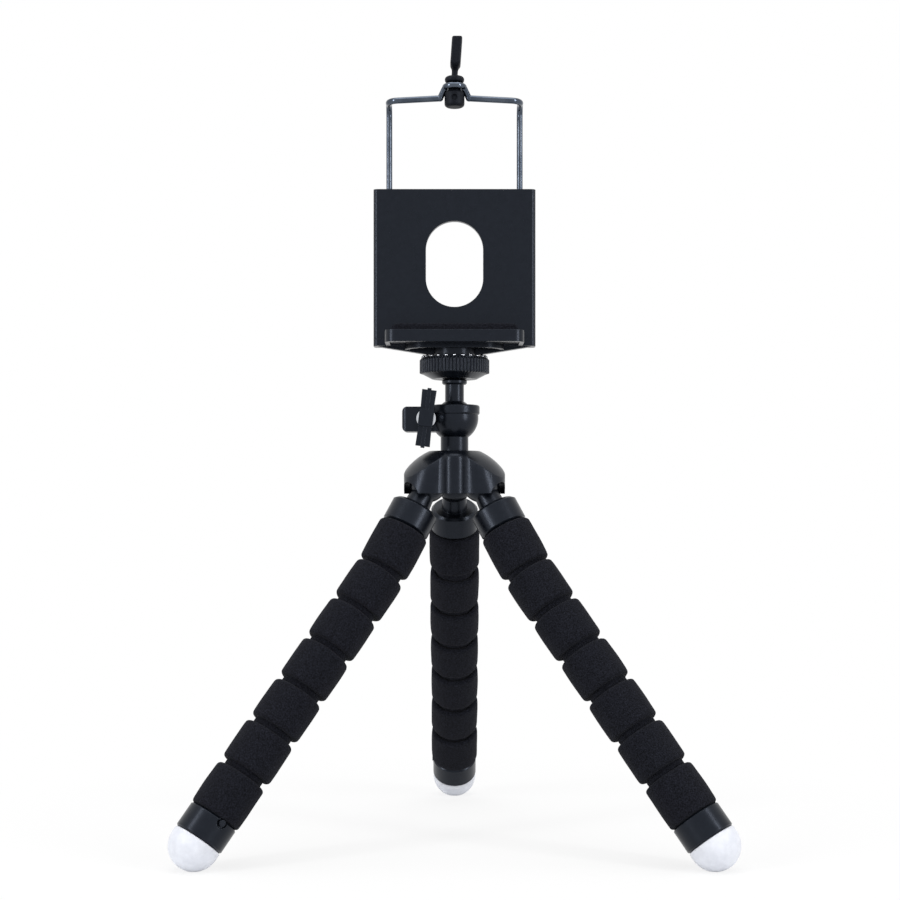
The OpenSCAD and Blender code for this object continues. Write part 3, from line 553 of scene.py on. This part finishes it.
def finish_of(name, dark, light, grain, rough, bump_mm, round_edge_mm=0.0, **sockets):
    """Principled material whose colour runs from dark to light, and its roughness over rough, with the grain.

    grain is the size of a grain in millimetres, and round_edge_mm softens hard edges in the shading.
    """
    material = bpy.data.materials.new(name)
    material.use_nodes = True
    tree = material.node_tree
    shader = tree.nodes["Principled BSDF"]
    place = tree.nodes.new("ShaderNodeTexCoord")
    noise = tree.nodes.new("ShaderNodeTexNoise")
    noise.inputs["Scale"].default_value = 1 / (grain * MM)
    noise.inputs["Detail"].default_value = 3
    noise.inputs["Roughness"].default_value = 0.6
    tree.links.new(place.outputs["Object"], noise.inputs["Vector"])
    ramp = tree.nodes.new("ShaderNodeValToRGB")
    ramp.color_ramp.elements[0].position = DARK_UP_TO
    ramp.color_ramp.elements[0].color = (*dark, 1)
    ramp.color_ramp.elements[1].position = LIGHT_FROM
    ramp.color_ramp.elements[1].color = (*light, 1)
    tree.links.new(noise.outputs["Fac"], ramp.inputs["Fac"])
    tree.links.new(ramp.outputs["Color"], shader.inputs["Base Color"])
    spread = tree.nodes.new("ShaderNodeMapRange")
    spread.inputs["To Min"].default_value = rough[0]
    spread.inputs["To Max"].default_value = rough[1]
    tree.links.new(noise.outputs["Fac"], spread.inputs["Value"])
    tree.links.new(spread.outputs["Result"], shader.inputs["Roughness"])
    bump = tree.nodes.new("ShaderNodeBump")
    bump.inputs["Strength"].default_value = 1
    bump.inputs["Distance"].default_value = bump_mm * MM
    tree.links.new(noise.outputs["Fac"], bump.inputs["Height"])
    if round_edge_mm:
        soft = tree.nodes.new("ShaderNodeBevel")
        soft.inputs["Radius"].default_value = round_edge_mm * MM
        tree.links.new(soft.outputs["Normal"], bump.inputs["Normal"])
    tree.links.new(bump.outputs["Normal"], shader.inputs["Normal"])
    for socket, value in sockets.items():
        shader.inputs[socket.replace("_", " ")].default_value = value
    return material


# %% [markdown]
# The black plastic is smooth and slightly blue in its shine, with rounded mould edges. The foam is a
# matte charcoal with open grains and a trace of sheen. The feet are milky and let some light in. The
# screw's bush is bright plated steel, and the wire has a much darker plating.

# %% The stand's finishes
gloss_black = finish_of(
    "gloss_black", (0.0022, 0.003, 0.005), (0.0036, 0.0047, 0.0072), grain=1.6, rough=(0.24, 0.34),
    bump_mm=0.003, round_edge_mm=0.3, Specular_IOR_Level=0.27, Specular_Tint=(0.72, 0.81, 1, 1))
foam = finish_of(
    "charcoal_foam", (0.002, 0.0022, 0.0036), (0.014, 0.0152, 0.0225), grain=0.42, rough=(0.88, 0.98),
    bump_mm=0.12, Specular_IOR_Level=0.07, Sheen_Weight=0.02, Sheen_Roughness=0.6)
milky_rubber = finish_of(
    "milky_rubber", (0.66, 0.68, 0.74), (0.74, 0.76, 0.82), grain=2.5, rough=(0.42, 0.55),
    bump_mm=0.01, Subsurface_Weight=0.4, Subsurface_Scale=0.003, Subsurface_Radius=(1, 1, 1))
black_rubber = finish_of(
    "black_rubber", (0.0015, 0.0018, 0.003), (0.0045, 0.005, 0.0075), grain=0.7, rough=(0.45, 0.6),
    bump_mm=0.02, round_edge_mm=0.25, Specular_IOR_Level=0.16, Specular_Tint=(0.75, 0.83, 1, 1))
bright_steel = finish_of(
    "bright_steel", (0.5, 0.52, 0.56), (0.6, 0.62, 0.66), grain=4.0, rough=(0.14, 0.2),
    bump_mm=0.001, Metallic=1)
wire_steel = finish_of(
    "wire_steel", (0.055, 0.068, 0.09), (0.095, 0.112, 0.14), grain=5.0, rough=(0.14, 0.2),
    bump_mm=0.001, Metallic=1)
spring_steel = finish_of(
    "spring_steel", (0.38, 0.39, 0.41), (0.5, 0.51, 0.53), grain=0.5, rough=(0.25, 0.4),
    bump_mm=0.003, Metallic=1)
turned_brass = finish_of(
    "turned_brass", (0.6, 0.42, 0.16), (0.72, 0.52, 0.22), grain=0.6, rough=(0.22, 0.35),
    bump_mm=0.003, Metallic=1)
pale_liner = finish_of(
    "pale_liner", (0.7, 0.7, 0.67), (0.78, 0.78, 0.75), grain=1.0, rough=(0.5, 0.6), bump_mm=0.004)
SLOT_FINISH = {
    "gloss_black": gloss_black, "foam": foam, "foot_rubber": milky_rubber, "grip_rubber": black_rubber,
    "bright_metal": bright_steel, "spring_wire": spring_steel, "core_wire": spring_steel,
    "brass": turned_brass, "liner": pale_liner,
}
NODE_FINISH = {"wire_frame": wire_steel}
print("dressed slots:", len(SLOT_FINISH), "and nodes with a finish of their own:", len(NODE_FINISH))

# %% [markdown]
# The record names a material slot for each CAD node, so the nodes can be dressed in one pass. New
# pieces name their slot themselves.

# %% Dress the pieces
slot_of = {entry["node"]: entry["material_slot"] for entry in frame["record"]["subparts"]}
for node_name, node in frame["nodes"].items():
    node.data.materials.clear()
    node.data.materials.append(NODE_FINISH.get(node_name, SLOT_FINISH[slot_of[node_name]]))
pieces_of_slot = {
    "foam": [*foam_pieces, pad_sheet, pad_lip],
    "foot_rubber": foot_pieces,
    "spring_wire": spring_pieces,
    "gloss_black": [grip_ring, domed_hub],
    "bright_metal": [ring_beads],
    "grip_rubber": [pull_strap],
}
for slot, pieces in pieces_of_slot.items():
    for piece in pieces:
        piece.data.materials.append(SLOT_FINISH[slot])
print("dressed:", len(frame["nodes"]), "nodes and", sum(map(len, pieces_of_slot.values())), "new pieces")

# %% [markdown]
# ## The studio
# The stand is shown on plain white, as in a catalogue. The white is not made with more light: camera,
# glossy and transmitted rays simply see the world and the far floor at full white, while other rays see
# a dimmer world that lights the stand at a plain level. Close to the stand the floor mixes in its real
# shading, which keeps a soft shadow.


# %% Rays that show the background
def shows_background(tree):
    """Output that is 1 for the rays that show the background: camera, glossy and transmitted ones."""
    rays = tree.nodes.new("ShaderNodeLightPath")
    total = rays.outputs["Is Camera Ray"]
    for kind in ("Is Glossy Ray", "Is Transmission Ray"):
        either = tree.nodes.new("ShaderNodeMath")
        either.operation = "MAXIMUM"
        tree.links.new(total, either.inputs[0])
        tree.links.new(rays.outputs[kind], either.inputs[1])
        total = either.outputs[0]
    return total


# %% Floor
FLOOR_HALF = 3
SHADOW_R, WHITE_R = 0.09, 0.2
WHITE_SHARE_NEAR = 0.8
floor_side = np.linspace(-FLOOR_HALF, FLOOR_HALF, 2)
floor_grid = np.stack(np.meshgrid(floor_side, floor_side, [0.0], indexing="ij"), axis=-1)[:, :, 0]
floor = surface("floor", floor_grid)
paper = bpy.data.materials.new("white_paper")
paper.use_nodes = True
tree = paper.node_tree
shaded = tree.nodes["Principled BSDF"]
shaded.inputs["Base Color"].default_value = (0.9, 0.9, 0.9, 1)
shaded.inputs["Roughness"].default_value = 0.9
shaded.inputs["Specular IOR Level"].default_value = 0
glow = tree.nodes.new("ShaderNodeEmission")
floor_place = tree.nodes.new("ShaderNodeTexCoord")
distance = tree.nodes.new("ShaderNodeVectorMath")
distance.operation = "LENGTH"
whiten = tree.nodes.new("ShaderNodeMapRange")
whiten.interpolation_type = "SMOOTHSTEP"
whiten.inputs["From Min"].default_value = SHADOW_R
whiten.inputs["From Max"].default_value = WHITE_R
whiten.inputs["To Min"].default_value = WHITE_SHARE_NEAR
share = tree.nodes.new("ShaderNodeMath")
share.operation = "MULTIPLY"
blend = tree.nodes.new("ShaderNodeMixShader")
tree.links.new(floor_place.outputs["Object"], distance.inputs[0])
tree.links.new(distance.outputs["Value"], whiten.inputs["Value"])
tree.links.new(whiten.outputs["Result"], share.inputs[0])
tree.links.new(shows_background(tree), share.inputs[1])
tree.links.new(share.outputs[0], blend.inputs["Fac"])
tree.links.new(shaded.outputs[0], blend.inputs[1])
tree.links.new(glow.outputs[0], blend.inputs[2])
tree.links.new(blend.outputs[0], tree.nodes["Material Output"].inputs["Surface"])
floor.data.materials.append(paper)
print("floor width:", 2 * FLOOR_HALF, "m")

# %% World
WORLD_LIGHT = 0.4
world = bpy.data.worlds.new("studio")
bpy.context.scene.world = world
world.use_nodes = True
tree = world.node_tree
plain = tree.nodes["Background"]
plain.inputs["Color"].default_value = (1, 1, 1, 1)
plain.inputs["Strength"].default_value = WORLD_LIGHT
white = tree.nodes.new("ShaderNodeBackground")
white.inputs["Color"].default_value = (1, 1, 1, 1)
white.inputs["Strength"].default_value = 1
mixed = tree.nodes.new("ShaderNodeMixShader")
tree.links.new(shows_background(tree), mixed.inputs["Fac"])
tree.links.new(plain.outputs[0], mixed.inputs[1])
tree.links.new(white.outputs[0], mixed.inputs[2])
tree.links.new(mixed.outputs[0], tree.nodes["World Output"].inputs["Surface"])
print("world light:", WORLD_LIGHT)

# %% [markdown]
# Two tall soft boxes stand left and right in front of the stand. They are narrow, so each draws one
# upright streak on a round black surface, which is how gloss plastic shows its shape. A wide box above
# fills in from the top.

# %% Lamps
MIDDLE = (0, 0, 0.12)
SIDE_BOX = {"width": 0.14, "height": 0.9, "power": 5}
TOP_BOX = {"width": 0.9, "height": 0.9, "power": 6}


def soft_box(name, place, target, width, height, power):
    """Area lamp at place that faces target.

    An unturned lamp shines straight down. It is tipped by the angle between its line of sight and the
    vertical, and then turned about Z.
    """
    lamp = bpy.data.lights.new(name, "AREA")
    lamp.shape = "RECTANGLE"
    lamp.size, lamp.size_y, lamp.energy = width, height, power
    holder = add_object(name, lamp)
    away = np.array(place, float) - np.array(target, float)
    tip = np.arctan2(np.hypot(away[0], away[1]), away[2])
    heading = np.arctan2(away[0], -away[1])
    holder.location = place
    holder.rotation_euler = (tip, 0, heading)
    return holder


lamps = [
    soft_box("left_box", (-0.75, -0.55, 0.3), MIDDLE, **SIDE_BOX),
    soft_box("right_box", (0.75, -0.55, 0.3), MIDDLE, **SIDE_BOX),
    soft_box("top_box", (0, -0.1, 1.0), MIDDLE, **TOP_BOX),
]
bpy.context.scene.view_settings.view_transform = "Standard"
print("lamps:", len(lamps))
